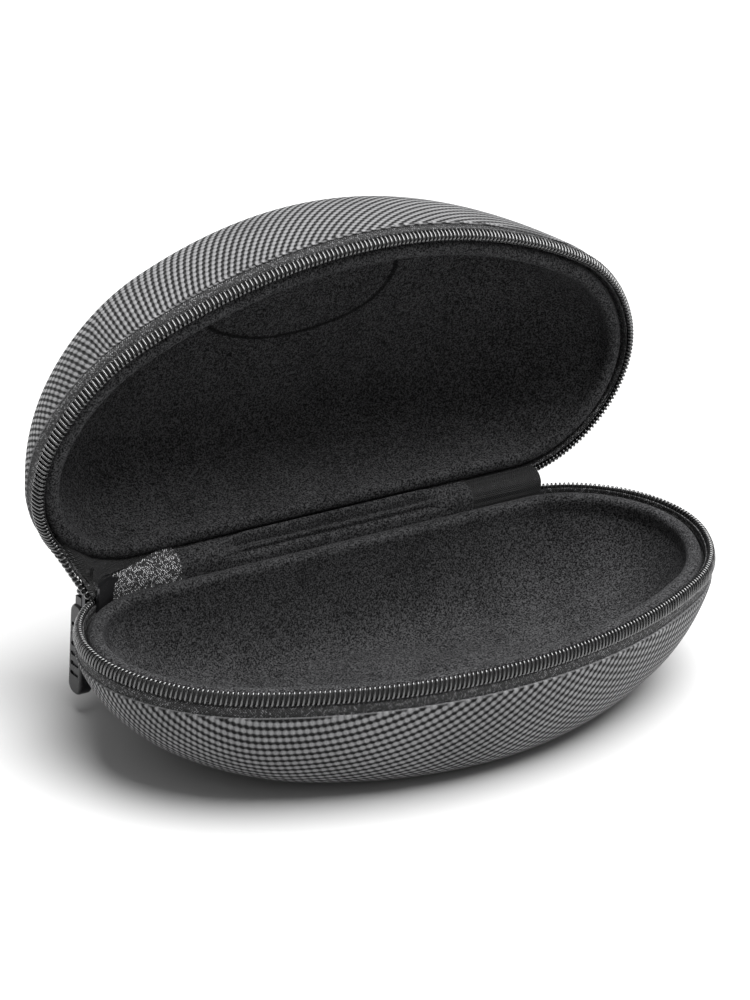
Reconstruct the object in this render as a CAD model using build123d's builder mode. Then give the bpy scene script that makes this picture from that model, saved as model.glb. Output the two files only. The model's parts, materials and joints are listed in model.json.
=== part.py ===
from build123d import *
import os
from math import cos, radians, sin

# Semi-hard eyeglasses case: two moulded half shells under woven cloth, hinged along the
# back and closed by a coil zip round the other three sides. It stands open on its base.
# Origin at the centre of the flat foot, +X along the hinge, front at -Y, +Z up.
# All sizes are in millimetres and degrees.

# Rim outline, the same for both halves: a straight hinge edge and four kinds of arc
HINGE_HALF = 52.84
CORNER_R = 29.66
CORNER_TURN = 111.6
SIDE_R = 42.37
SIDE_TURN = 40.1
OPEN_ANGLE = 79.3

# Dome of each half: total depth, distance of its pole from the hinge edge, and the two
# exponents of its profile; the rear wall's profile has the squarer exponent BACK_Q
BASE_DOME = {"depth": 31.2, "pole": 50.4, "p": 1.645, "q": 4.605}
LID_DOME = {"depth": 33.1, "pole": 56.6, "p": 1.2, "q": 5.38}
BACK_Q = 30.0
BASE_LEVELS = (0.0, 0.18, 0.35, 0.5, 0.63, 0.74, 0.83, 0.9, 0.95, 0.985)
LID_LEVELS = (0.0, 0.18, 0.35, 0.5, 0.63, 0.74, 0.83, 0.9, 0.95, 0.98, 0.995)

# Layers of a wall, as insets from the rim outline, and depths below the split plane
COVER_OUT = 0.8
COVER_IN = 1.7
TAPE_IN = 2.2
LEDGE_OUT = 2.3
LIP_OUT = 4.3
LINING_T = 0.7
LINING_IN = 7.4
CORE_IN = LINING_IN - LINING_T
COVER_TOP = 5.4
LEDGE_TOP = 4.6
LIP_TOP = 1.2
LIP_OUT_FILLET = 1.8
LIP_IN_FILLET = 1.5
COVER_FLOOR = 0.9
CORE_FLOOR = 5.0
LINING_FLOOR = 5.7

# Coil zip
COIL_R = 1.1
COIL_DEPTH = 1.5
COIL_INSET = 1.6
COIL_CORD_R = 0.45
COIL_BORE_R = 0.6
THREAD_R = 0.22
THREAD_INSET = 3.3
HINGE_END_PHI = 6.0
LID_ZIP_START_PHI = 38.0

# Slider on the left corner arc, and its pull
SLIDER_PHI = 24.5
SLIDER_HALF_PHI = 8.2
JOINED_GAP_PHI = 1.5
PLATE_T = 0.75
OUTER_PLATE_INSET = 0.25
INNER_PLATE_INSET = 2.95
PLATE_HALF_HEIGHT = 3.4
PLATE_CORNER_R = 1.3
FLANGE_HEIGHT = 0.5
OUTER_FLANGE_REACH = 1.1
INNER_FLANGE_REACH = 0.4
NECK_HALF_HEIGHT = 0.2
NECK_START_PHI = 2.0
NECK_PHI = 4.5
CROWN_BAR_R = 0.5
CROWN_RISE = 2.24
CROWN_HALF_SPAN = 2.3
CROWN_BEND_R = 0.7
LOOP_R = 1.7
LOOP_WIRE_R = 0.4
LOOP_DROP = 0.7
NECK_WIDTH = 2.4
GRIP_WIDTH = 5.4
GRIP_THICKNESS = 3.4
GRIP_SHOULDER = -3.2
GRIP_BOTTOM = -25.4
GRIP_FLAT = 0.3
GRIP_FILLET = 0.7
RIB_COUNT = 6
RIB_PITCH = 2.4
RIB_LENGTH = 3.4
RIB_WIDTH = 1.0
RIB_DEPTH = 0.35

# Zip stops
STOP_PHI = 2.5
STOP_LENGTH = 2.0
STOP_WIDTH = 2.6
STOP_TOP = 0.35
STOP_BOTTOM = 2.85
STOP_FILLET = 0.3

# Hinge strips and zip tails
OUTER_STRIP_HALF = 49.0
OUTER_STRIP_T = 0.6
OUTER_STRIP_INSET = 0.35
OUTER_STRIP_LEG = 11.0
OUTER_STRIP_BEND = 1.2
LINING_STRIP_HALF = 38.0
TAIL_START = 38.4
TAIL_END = 52.6
BAND_R = 3.0
BAND_T = 0.6
BAND_LEG = 4.0

side_x = HINGE_HALF - (SIDE_R - CORNER_R) * cos(radians(CORNER_TURN - 90))
side_f = CORNER_R - (SIDE_R - CORNER_R) * sin(radians(CORNER_TURN - 90))
front_start = CORNER_TURN - 90 + SIDE_TURN
FRONT_R = SIDE_R + side_x / cos(radians(front_start))
front_f = side_f - (FRONT_R - SIDE_R) * sin(radians(front_start))


def arcs(inset, right_phi=0.0, left_phi=0.0):
    """The outline's arcs as (centre, radius, start angle, sweep), from right to left."""
    corner, side, front = CORNER_R - inset, SIDE_R - inset, FRONT_R - inset
    return [
        ((HINGE_HALF, CORNER_R), corner, right_phi - 90, CORNER_TURN - right_phi),
        ((side_x, side_f), side, CORNER_TURN - 90, SIDE_TURN),
        ((0, front_f), front, front_start, 180 - 2 * front_start),
        ((-side_x, side_f), side, 180 - front_start, SIDE_TURN),
        ((-HINGE_HALF, CORNER_R), corner, 270 - CORNER_TURN, CORNER_TURN - left_phi),
    ]


def arc_point(centre, radius, angle):
    return centre[0] + radius * cos(radians(angle)), centre[1] + radius * sin(radians(angle))


def outline_points(inset):
    """Points round the outline: evenly spaced along each arc and along the hinge edge."""
    points = []
    for (centre, radius, start, sweep), count in zip(arcs(inset), (9, 4, 8, 4, 9)):
        points += [arc_point(centre, radius, start + sweep * i / count) for i in range(count)]
    hinge_steps = 7
    for i in range(hinge_steps):
        points.append((HINGE_HALF * (2 * i / hinge_steps - 1), inset))
    return points


def dome_scale(level, exponent_p, exponent_q):
    return (1 - level**exponent_p) ** (1 / exponent_q)


def dome_section(dome, inset, thickness, level):
    """The outline at COVER_TOP shrunk about the pole to the dome's size at this level.

    Behind the pole it is pushed back, most in the middle, so that the rear wall is steep.
    """
    depth = dome["depth"] - thickness
    first = COVER_TOP / depth
    here = first + (1 - first) * level
    scale = dome_scale(here, dome["p"], dome["q"]) / dome_scale(first, dome["p"], dome["q"])
    back_scale = dome_scale(here, dome["p"], BACK_Q) / dome_scale(first, dome["p"], BACK_Q)
    push = (back_scale - scale) * dome["pole"]
    section = []
    for x, f in outline_points(inset):
        behind = max(dome["pole"] - f, 0) / dome["pole"]
        middle = 1 - (x / (HINGE_HALF + CORNER_R)) ** 2
        scaled_f = dome["pole"] + (f - dome["pole"]) * scale
        section.append((x * scale, scaled_f - push * behind**2 * middle))
    return section, here * depth


def dome_solid(plane, dome, inset, thickness, levels):
    """A solid dome from COVER_TOP down, closed by a flat face at each end."""
    with BuildPart() as solid:
        for level in levels:
            points, depth = dome_section(dome, inset, thickness, level)
            with BuildSketch(plane.offset(depth)):
                with BuildLine():
                    Spline(*points, periodic=True)
                make_face()
        loft()
    return solid.part


def rim_ring(plane, inset_out, inset_in, top, bottom, out_fillet=0.0, in_fillet=0.0):
    """A ring between two insets, from depth top to depth bottom, rounded along its top."""
    with BuildPart() as ring:
        with BuildSketch(plane.offset(top)):
            with BuildLine():
                Spline(*outline_points(inset_out), periodic=True)
            make_face()
            with BuildLine():
                Spline(*outline_points(inset_in), periodic=True)
            make_face(mode=Mode.SUBTRACT)
        extrude(amount=bottom - top)
        if out_fillet:
            top_face = ring.faces().filter_by(plane).sort_by(Axis(plane.origin, plane.z_dir))[0]
            fillet(top_face.outer_wire().edges(), out_fillet)
            top_face = ring.faces().filter_by(plane).sort_by(Axis(plane.origin, plane.z_dir))[0]
            fillet(top_face.inner_wires()[0].edges(), in_fillet)
    return ring.part


def rim_band(plane, inset_out, inset_in, top, bottom, right_phi, left_phi):
    """An upright band round the zip side, from right_phi to left_phi on the corners."""
    with BuildPart() as band:
        with BuildSketch(plane.offset(top)):
            with BuildLine():
                outer = [CenterArc(*arc) for arc in arcs(inset_out, right_phi, left_phi)]
                inner = [CenterArc(*arc) for arc in arcs(inset_in, right_phi, left_phi)]
                Line(outer[0] @ 0, inner[0] @ 0)
                Line(outer[-1] @ 1, inner[-1] @ 1)
            make_face()
        extrude(amount=bottom - top)
    return band.part


def rim_tube(plane, inset, depth, radius, bore, right_phi, left_phi):
    """A round tube or rod along the rim; a bore of 0 gives a rod."""
    with BuildPart() as tube:
        with BuildLine(plane.offset(depth)) as path:
            for arc in arcs(inset, right_phi, left_phi):
                CenterArc(*arc)
        with BuildSketch(Plane(origin=path.line @ 0, z_dir=path.line % 0)):
            Circle(radius)
            if bore:
                Circle(bore, mode=Mode.SUBTRACT)
        sweep()
    return tube.part


def keep(part, label):
    """Labels a finished piece and writes it to its own file."""
    part.label = label
    export_step(part, f"parts/{label}.step")


# Placement: the foot's middle is the origin
foot_points, foot_depth = dome_section(BASE_DOME, COVER_OUT, 0, BASE_LEVELS[-1])
foot_f = [f for x, f in foot_points]
HINGE_Y = (min(foot_f) + max(foot_f)) / 2
RIM_Z = foot_depth
open_sin, open_cos = sin(radians(OPEN_ANGLE)), cos(radians(OPEN_ANGLE))
base_plane = Plane(origin=(0, HINGE_Y, RIM_Z), x_dir=(1, 0, 0), z_dir=(0, 0, -1))
lid_plane = Plane(origin=(0, HINGE_Y, RIM_Z), x_dir=(-1, 0, 0), z_dir=(0, open_sin, open_cos))

os.makedirs("parts", exist_ok=True)

# The two half shells: cover, foam core and lining, with zip tape, coil, cord and seam.
# On the base the zip runs to the left hinge end, on the lid it stops short of the slider.
halves = {
    "base": (base_plane, BASE_DOME, BASE_LEVELS, HINGE_END_PHI, HINGE_END_PHI),
    "lid": (lid_plane, LID_DOME, LID_LEVELS, LID_ZIP_START_PHI, HINGE_END_PHI),
}
for half, (plane, dome, levels, right_phi, left_phi) in halves.items():
    cover_outside = dome_solid(plane, dome, COVER_OUT, 0, levels)
    cover_inside = dome_solid(plane, dome, COVER_IN, COVER_FLOOR, levels)
    core_inside = dome_solid(plane, dome, CORE_IN, CORE_FLOOR, levels)
    lining_inside = dome_solid(plane, dome, LINING_IN, LINING_FLOOR, levels)
    lip_core_top = LIP_TOP + LINING_T
    lip_core = rim_ring(
        plane, LIP_OUT + LINING_T, CORE_IN, lip_core_top, LEDGE_TOP,
        LIP_OUT_FILLET - LINING_T, LIP_IN_FILLET - LINING_T,
    )
    lip = rim_ring(plane, LIP_OUT, LINING_IN, LIP_TOP, COVER_TOP, LIP_OUT_FILLET, LIP_IN_FILLET)
    ledge = rim_ring(plane, LEDGE_OUT, CORE_IN, LEDGE_TOP, COVER_TOP)

    with BuildPart() as cover:
        add(cover_outside)
        add(cover_inside, mode=Mode.SUBTRACT)
    keep(cover.part, f"{half}_cover")

    with BuildPart() as core:
        add(cover_inside)
        add(core_inside, mode=Mode.SUBTRACT)
        add(ledge)
        add(lip_core)
    keep(core.part, f"{half}_core")

    with BuildPart() as lining:
        add(lip)
        add(lip_core, mode=Mode.SUBTRACT)
        add(ledge, mode=Mode.SUBTRACT)
        add(core_inside)
        add(lining_inside, mode=Mode.SUBTRACT)
    keep(lining.part, f"{half}_lining")

    tape_top = COIL_DEPTH + COIL_R
    tape = rim_band(plane, COVER_IN, TAPE_IN, tape_top, COVER_TOP, right_phi, left_phi)
    keep(tape, f"{half}_zip_tape")
    coil = rim_tube(plane, COIL_INSET, COIL_DEPTH, COIL_R, COIL_BORE_R, right_phi, left_phi)
    keep(coil, f"{half}_zip_coil")
    cord = rim_tube(plane, COIL_INSET, COIL_DEPTH, COIL_CORD_R, 0, right_phi, left_phi)
    keep(cord, f"{half}_coil_cord")
    thread_depth = LEDGE_TOP - THREAD_R
    thread = rim_tube(plane, THREAD_INSET, thread_depth, THREAD_R, 0, right_phi, left_phi)
    keep(thread, f"{half}_seam_thread")

# Zip stops: one crimp on each coil at the right end, one across both at the left end
def crimp(plane, side, top, bottom, label):
    """A crimp round the coil, on the rear corner at this side of a half."""
    turn = radians(STOP_PHI)
    centre_x = side * (HINGE_HALF + (CORNER_R - COIL_INSET) * sin(turn))
    centre_f = CORNER_R - (CORNER_R - COIL_INSET) * cos(turn)
    with BuildPart() as block:
        with BuildSketch(plane.offset(top)):
            with Locations((centre_x, centre_f)):
                Rectangle(STOP_LENGTH, STOP_WIDTH, rotation=side * STOP_PHI)
        extrude(amount=bottom - top)
        fillet(block.edges(), STOP_FILLET)
    keep(block.part, label)


crimp(base_plane, 1, STOP_TOP, STOP_BOTTOM, "base_top_stop")
crimp(lid_plane, -1, STOP_TOP, STOP_BOTTOM, "lid_top_stop")
crimp(base_plane, -1, -STOP_BOTTOM, STOP_BOTTOM, "zip_bottom_stop")


# Hinge strips and zip tails: bands across the hinge that bend as the lid moves
def lid_side(f, depth):
    """A point of the lid in the hinge's section, from its distance forward and depth."""
    return depth * open_sin - f * open_cos, f * open_sin + depth * open_cos


def hinge_section(x):
    return Plane(origin=(x, HINGE_Y, RIM_Z), x_dir=(0, 1, 0), z_dir=(1, 0, 0))


with BuildPart() as outer_strip:
    with BuildSketch(hinge_section(-OUTER_STRIP_HALF)):
        with BuildLine():
            fold_height = OUTER_STRIP_INSET * (1 + open_cos) / open_sin
            FilletPolyline(
                (-OUTER_STRIP_INSET, -OUTER_STRIP_LEG),
                (-OUTER_STRIP_INSET, fold_height),
                lid_side(OUTER_STRIP_INSET, OUTER_STRIP_LEG),
                radius=OUTER_STRIP_BEND,
            )
        trace(line_width=OUTER_STRIP_T)
    extrude(amount=2 * OUTER_STRIP_HALF)
keep(outer_strip.part, "hinge_outer_strip")


def inner_band(x_from, x_to, label):
    """A band round the hinge line from the base's zip channel to the lid's."""
    with BuildPart() as band:
        with BuildSketch(hinge_section(x_from)):
            with BuildLine():
                Line((-BAND_R, -BAND_LEG), (-BAND_R, 0))
                bend = CenterArc((0, 0), BAND_R, 180, -OPEN_ANGLE)
                Line(bend @ 1, lid_side(BAND_R, BAND_LEG))
            trace(line_width=BAND_T)
        extrude(amount=x_to - x_from)
    keep(band.part, label)


inner_band(-LINING_STRIP_HALF, LINING_STRIP_HALF, "hinge_lining_strip")
inner_band(-TAIL_END, -TAIL_START, "zip_tail_left")
inner_band(TAIL_START, TAIL_END, "zip_tail_right")

# The left corner, round which the slider travels
corner_axis = Axis((-HINGE_HALF, HINGE_Y - CORNER_R, RIM_Z), (0, 0, 1))


def corner_section(phi):
    """An upright plane through the corner's axis: x outward at this angle, y up."""
    outward = Vector(-sin(radians(phi)), cos(radians(phi)), 0)
    return Plane(origin=corner_axis.position, x_dir=outward, z_dir=(outward.Y, -outward.X, 0))


# The lid's coil between the bottom stop and the slider, meshed with the base's coil
with BuildPart() as joined_coil:
    with BuildSketch(corner_section(HINGE_END_PHI)):
        with Locations((CORNER_R - COIL_INSET, COIL_DEPTH)):
            Circle(COIL_R)
    joined_turn = SLIDER_PHI - SLIDER_HALF_PHI - JOINED_GAP_PHI - HINGE_END_PHI
    revolve(axis=corner_axis, revolution_arc=joined_turn)
keep(joined_coil.part, "zip_coil_joined_run")

# Slider: two curved plates with turned-in flanges, and a neck that parts the coils
plate_out = CORNER_R - OUTER_PLATE_INSET
plate_in = CORNER_R - INNER_PLATE_INSET
flange_z = PLATE_HALF_HEIGHT - FLANGE_HEIGHT / 2
slider_chord = plate_out * sin(radians(SLIDER_HALF_PHI))
along_zip = (-cos(radians(SLIDER_PHI)), -sin(radians(SLIDER_PHI)), 0)
crown_plane = Plane(origin=corner_axis.position, x_dir=along_zip, z_dir=(0, 0, -1))
front_plane = Plane(origin=corner_axis.position, x_dir=along_zip, z_dir=crown_plane.y_dir)
with BuildPart() as slider:
    with BuildSketch(corner_section(SLIDER_PHI - SLIDER_HALF_PHI)):
        with Locations((plate_out + PLATE_T / 2, 0), (plate_in - PLATE_T / 2, 0)):
            Rectangle(PLATE_T, 2 * PLATE_HALF_HEIGHT)
        for side in (-1, 1):
            with Locations((plate_out - OUTER_FLANGE_REACH / 2, side * flange_z)):
                Rectangle(OUTER_FLANGE_REACH, FLANGE_HEIGHT)
            with Locations((plate_in + INNER_FLANGE_REACH / 2, side * flange_z)):
                Rectangle(INNER_FLANGE_REACH, FLANGE_HEIGHT)
    revolve(axis=corner_axis, revolution_arc=2 * SLIDER_HALF_PHI)
    with BuildSketch(corner_section(SLIDER_PHI + NECK_START_PHI)):
        with Locations(((plate_out + plate_in) / 2, 0)):
            Rectangle(plate_out - plate_in, 2 * NECK_HALF_HEIGHT)
    revolve(axis=corner_axis, revolution_arc=NECK_PHI)
    with BuildSketch(front_plane):
        RectangleRounded(2 * slider_chord, 2 * PLATE_HALF_HEIGHT, PLATE_CORNER_R)
    extrude(amount=CORNER_R + PLATE_T, mode=Mode.INTERSECT)
keep(slider.part, "slider_body")

# Crown: a square arch of round wire on the outer plate, along the slider's travel
crown_foot = plate_out + PLATE_T / 2
crown_top = plate_out + PLATE_T + CROWN_RISE
with BuildPart() as crown:
    with BuildLine(crown_plane) as crown_path:
        FilletPolyline(
            (-CROWN_HALF_SPAN, crown_foot),
            (-CROWN_HALF_SPAN, crown_top),
            (CROWN_HALF_SPAN, crown_top),
            (CROWN_HALF_SPAN, crown_foot),
            radius=CROWN_BEND_R,
        )
    with BuildSketch(Plane(origin=crown_path.line @ 0, z_dir=crown_path.line % 0)):
        Circle(CROWN_BAR_R)
    sweep()
    add(slider.part, mode=Mode.SUBTRACT)
keep(crown.part, "slider_crown")

# Pull: a wire loop through the crown, moulded into a soft grip that hangs straight down
loop_centre = crown_plane.from_local_coords(Vector(0, crown_top, LOOP_DROP))
with BuildPart() as loop:
    with Locations(loop_centre):
        Torus(LOOP_R, LOOP_WIRE_R, rotation=(0, 90, 0))
keep(loop.part, "pull_loop")

grip_plane = Plane(origin=loop_centre, x_dir=(0, 1, 0), z_dir=(1, 0, 0))
neck_top = LOOP_WIRE_R - LOOP_R
grip_middle = (GRIP_SHOULDER + GRIP_BOTTOM) / 2
with BuildPart() as grip:
    with BuildSketch(grip_plane):
        with Locations((0, grip_middle)):
            RectangleRounded(GRIP_WIDTH, GRIP_SHOULDER - GRIP_BOTTOM, GRIP_WIDTH / 2 - GRIP_FLAT)
    extrude(amount=GRIP_THICKNESS / 2, both=True)
    fillet(grip.edges(), GRIP_FILLET)
    for side in (-1, 1):
        with BuildSketch(grip_plane.offset(side * GRIP_THICKNESS / 2)):
            with Locations((0, grip_middle)):
                with GridLocations(0, RIB_PITCH, 1, RIB_COUNT):
                    SlotOverall(RIB_LENGTH, RIB_WIDTH)
        extrude(amount=-side * RIB_DEPTH, mode=Mode.SUBTRACT)
    with BuildSketch(grip_plane):
        with Locations((0, (neck_top + grip_middle) / 2)):
            Rectangle(NECK_WIDTH, neck_top - grip_middle)
    extrude(amount=NECK_WIDTH / 2, both=True)
    add(loop.part, mode=Mode.SUBTRACT)
keep(grip.part, "pull_grip")
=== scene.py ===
import json
from math import ceil, cos, pi, radians, sin, tan

import bmesh
import bpy
import numpy as np
from mathutils import Matrix, Vector


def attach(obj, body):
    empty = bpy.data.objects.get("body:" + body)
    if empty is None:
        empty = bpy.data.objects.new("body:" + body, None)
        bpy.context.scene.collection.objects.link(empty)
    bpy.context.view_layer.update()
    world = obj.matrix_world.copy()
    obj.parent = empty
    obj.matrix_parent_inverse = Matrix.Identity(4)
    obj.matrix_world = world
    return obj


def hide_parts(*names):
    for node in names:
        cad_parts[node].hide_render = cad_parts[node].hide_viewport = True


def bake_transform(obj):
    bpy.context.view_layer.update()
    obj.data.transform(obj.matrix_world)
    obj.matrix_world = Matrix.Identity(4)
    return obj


# Looks of the eyeglasses case. Lengths are millimetres and angles degrees until place()
# or a path turns them into the frame's metres. A half's own coordinates are x along the
# hinge, f forward from the hinge edge, and depth below the plane where the halves part.
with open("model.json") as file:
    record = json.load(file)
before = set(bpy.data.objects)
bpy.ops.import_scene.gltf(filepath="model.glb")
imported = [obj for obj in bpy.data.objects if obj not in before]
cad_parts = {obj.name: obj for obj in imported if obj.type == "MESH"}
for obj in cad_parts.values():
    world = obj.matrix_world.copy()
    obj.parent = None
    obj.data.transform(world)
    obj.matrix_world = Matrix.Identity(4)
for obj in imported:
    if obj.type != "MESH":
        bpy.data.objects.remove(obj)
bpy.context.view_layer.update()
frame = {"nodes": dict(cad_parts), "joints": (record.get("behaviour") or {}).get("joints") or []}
MM = 0.001

# Rim outline and domes, the same as the CAD part's
HINGE_HALF = 52.84
CORNER_R = 29.66
CORNER_TURN = 111.6
SIDE_R = 42.37
SIDE_TURN = 40.1
OPEN_ANGLE = 79.3
SPLIT_DEPTH = 5.4
BACK_Q = 30.0
DOMES = {
    "base": {"depth": 31.2, "pole": 50.4, "p": 1.645, "q": 4.605, "last": 0.985},
    "lid": {"depth": 33.1, "pole": 56.6, "p": 1.2, "q": 5.38, "last": 0.995},
}

# How the flat cover cloth lies on each dome: threads per mm across and forward, at the
# rim, and how many fewer there are at the pole, where the moulding stretched it
CLOTH = {
    "base": {"across": (0.765, 0.15), "front": (1.727, 0.806), "back": (1.48, 0.56)},
    "lid": {"across": (0.789, 0.125), "front": (2.255, 1.441), "back": (1.34, 0.53)},
}

# Coil zip
COIL_INSET = 1.6
COIL_DEPTH = 1.62
COIL_PITCH = 1.115
COIL_HALF_HEIGHT = 1.33
COIL_HALF_WIDTH = 0.7
COIL_WIRE_R = 0.26
COIL_LEAN = 0.3

# Places round a corner of the rim, as turns from its hinge end: where the lid's coil leaves
# the lid's rim, the slider's mouth, where the joined coil starts, and where the zip ends
LEAD_PHI = 52.0
MOUTH_PHI = 31.8
JOINED_FROM_PHI = 15.0
ZIP_TO = 6.0
ZIP_FROM = {"base": 6.0, "lid": LEAD_PHI}

joint = next(j for j in frame["joints"] if j["name"] == "lid_hinge")
HINGE_Y = joint["pos_m"][1] / MM
RIM_Z = joint["pos_m"][2] / MM
open_sin, open_cos = sin(radians(OPEN_ANGLE)), cos(radians(OPEN_ANGLE))
side_x = HINGE_HALF - (SIDE_R - CORNER_R) * cos(radians(CORNER_TURN - 90))
side_f = CORNER_R - (SIDE_R - CORNER_R) * sin(radians(CORNER_TURN - 90))
front_start = CORNER_TURN - 90 + SIDE_TURN
FRONT_R = SIDE_R + side_x / cos(radians(front_start))
front_f = side_f - (FRONT_R - SIDE_R) * sin(radians(front_start))


# ---------------------------------------------------------------- geometry helpers
def place(half, x, f, depth):
    """Points of a half, from its own coordinates in mm, in the frame's metres."""
    x, f, depth = np.broadcast_arrays(x, f, depth)
    if half == "base":
        world = [x, HINGE_Y - f, RIM_Z - depth]
    else:
        world = [
            -x,
            HINGE_Y - f * open_cos + depth * open_sin,
            RIM_Z + f * open_sin + depth * open_cos,
        ]
    return np.stack(world, -1) * MM


def run_along(line):
    """The length of a line up to each of its points."""
    return np.concatenate([[0], np.cumsum(np.linalg.norm(np.diff(line, axis=0), axis=1))])


def rim_samples(step, right_phi=0.0, left_phi=0.0, closed=False):
    """Samples of the outline about step mm apart: arc centres, radii, outward ways, run."""
    corner = (HINGE_HALF, CORNER_R)
    runs = [
        (corner, CORNER_R, right_phi - 90, CORNER_TURN - right_phi),
        ((side_x, side_f), SIDE_R, CORNER_TURN - 90, SIDE_TURN),
        ((0, front_f), FRONT_R, front_start, 180 - 2 * front_start),
        ((-side_x, side_f), SIDE_R, 180 - front_start, SIDE_TURN),
        ((-HINGE_HALF, CORNER_R), CORNER_R, 270 - CORNER_TURN, CORNER_TURN - left_phi),
    ]
    centres, radii, outs, along = [], [], [], []
    run = 0.0
    for number, (centre, radius, start, sweep) in enumerate(runs):
        length = radius * radians(sweep)
        count = max(2, ceil(length / step))
        last = number == len(runs) - 1 and not closed
        turn = np.radians(start + sweep * np.arange(count + last) / count)
        centres.append(np.tile(centre, (len(turn), 1)))
        radii.append(np.full(len(turn), radius))
        outs.append(np.stack([np.cos(turn), np.sin(turn)], -1))
        along.append(run + length * np.arange(count + last) / count)
        run += length
    if closed:
        count = ceil(2 * HINGE_HALF / step)
        x = HINGE_HALF * (2 * np.arange(count) / count - 1)
        centres.append(np.stack([x, np.full(count, CORNER_R)], -1))
        radii.append(np.full(count, CORNER_R))
        outs.append(np.tile((0.0, -1.0), (count, 1)))
        along.append(run + HINGE_HALF + x)
    return {
        "centre": np.concatenate(centres),
        "radius": np.concatenate(radii),
        "out": np.concatenate(outs),
        "along": np.concatenate(along),
    }


def rim_xf(rim, inset):
    """The outline's points at this inset, as x and f."""
    points = rim["centre"] + (rim["radius"] - inset)[:, None] * rim["out"]
    return points[:, 0], points[:, 1]


def dome_ring(half, x, f, t, thickness, last):
    """A ring of the dome whose outline at SPLIT_DEPTH is x, f. Depth is t of the whole."""
    dome = DOMES[half]
    depth = dome["depth"] - thickness
    first = SPLIT_DEPTH / depth
    capped = min(t, last)
    flat = 1.0 if t <= last else (1 - t) / (1 - last)

    def scale(exponent_q):
        top = 1 - capped ** dome["p"]
        return (top / (1 - first ** dome["p"])) ** (1 / exponent_q)

    size = scale(dome["q"]) * flat
    push = (scale(BACK_Q) * flat - size) * dome["pole"]
    behind = np.clip((dome["pole"] - f) / dome["pole"], 0, None)
    middle = 1 - (x / (HINGE_HALF + CORNER_R)) ** 2
    ring_f = dome["pole"] + (f - dome["pole"]) * size - push * behind**2 * middle
    return x * size, ring_f, np.full(len(x), capped * depth)


def dome_levels(half, thickness, last, count, inset):
    """Levels from SPLIT_DEPTH to the pole, evenly spaced down the front wall."""
    depth = DOMES[half]["depth"] - thickness
    fine = np.concatenate(
        [np.linspace(SPLIT_DEPTH / depth, last, 1500), np.linspace(last, 1, 60)[1:]]
    )
    front = np.array([0.0]), np.array([front_f + FRONT_R - inset])
    line = np.array([np.ravel(dome_ring(half, *front, t, thickness, last)) for t in fine])
    run = run_along(line)
    return np.interp(np.linspace(0, run[-1], count), run, fine)


def dome_rows(half, rim, inset, thickness, count, last=None):
    """Rows of x, f and depth down a dome, from SPLIT_DEPTH to just short of its pole."""
    last = last or DOMES[half]["last"]
    x, f = rim_xf(rim, inset)
    levels = dome_levels(half, thickness, last, count, inset)[:-1]
    return [dome_ring(half, x, f, t, thickness, last) for t in levels]


def lip_rows(rim, profile):
    """Rows of x, f and depth for a profile of inset and depth pairs."""
    rows = []
    for inset, depth in profile:
        x, f = rim_xf(rim, inset)
        rows.append((x, f, np.full(len(x), depth)))
    return rows


def arc_profile(centre, radius_inset, radius_depth, start, end, count, power=1.0):
    """Inset and depth pairs on an ellipse or superellipse; 0 is inward, 90 is up."""
    pairs = []
    for i in range(count + 1):
        turn = radians(start + (end - start) * i / count)
        across = abs(cos(turn)) ** power * (1 if cos(turn) > 0 else -1)
        rise = abs(sin(turn)) ** power * (1 if sin(turn) > 0 else -1)
        pairs.append((centre[0] + radius_inset * across, centre[1] - radius_depth * rise))
    return pairs


GRIDS = {}  # each modelled piece's points, which the cloth facts are measured on


def surface(name, points, material, slot, wrap=(False, False), caps=(False, False), cloth=None):
    """A smooth quad mesh from a grid of points; cloth holds each point's weave coordinates."""
    GRIDS[name] = points
    across, down = points.shape[:2]
    verts = points.reshape(-1, 3)
    faces = []
    for i in range(across if wrap[0] else across - 1):
        j = (i + 1) % across
        for k in range(down if wrap[1] else down - 1):
            m = (k + 1) % down
            faces.append((i * down + k, j * down + k, j * down + m, i * down + m))
    if wrap[1] and not wrap[0]:
        faces += [tuple(range(down)), tuple(range((across - 1) * down, across * down))]
    extra = []
    for wanted, k in zip(caps, (0, down - 1)):
        if wanted:
            centre = len(verts) + len(extra)
            extra.append(points[:, k].mean(0))
            for i in range(across):
                faces.append((i * down + k, (i + 1) % across * down + k, centre))
    if extra:
        verts = np.concatenate([verts, extra])
    mesh = bpy.data.meshes.new(name)
    mesh.from_pydata(verts.tolist(), [], faces)
    if cloth is not None:
        weave = cloth.reshape(-1, 3)
        for wanted, k in zip(caps, (0, down - 1)):
            if wanted:
                weave = np.concatenate([weave, cloth[:, k].mean(0)[None]])
        layer = mesh.attributes.new("weave", "FLOAT_VECTOR", "POINT")
        layer.data.foreach_set("vector", weave.astype(np.float32).ravel())
    return finished(name, mesh, material)


def finished(name, mesh, material):
    """The object of a mesh: normals outward, smooth, with its material."""
    work = bmesh.new()
    work.from_mesh(mesh)
    bmesh.ops.recalc_face_normals(work, faces=work.faces)
    work.to_mesh(mesh)
    work.free()
    mesh.shade_smooth()
    mesh.materials.append(material)
    made = bpy.data.objects.new(name, mesh)
    bpy.context.scene.collection.objects.link(made)
    return made


def half_surface(name, half, rows, material, slot, **options):
    """A surface of a half, from rows of x, f and depth."""
    x, f, depth = (np.stack([row[i] for row in rows], 1) for i in range(3))
    points = place(half, x, f, depth)
    return surface(name, points, material, slot, wrap=(True, False), **options)


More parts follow.
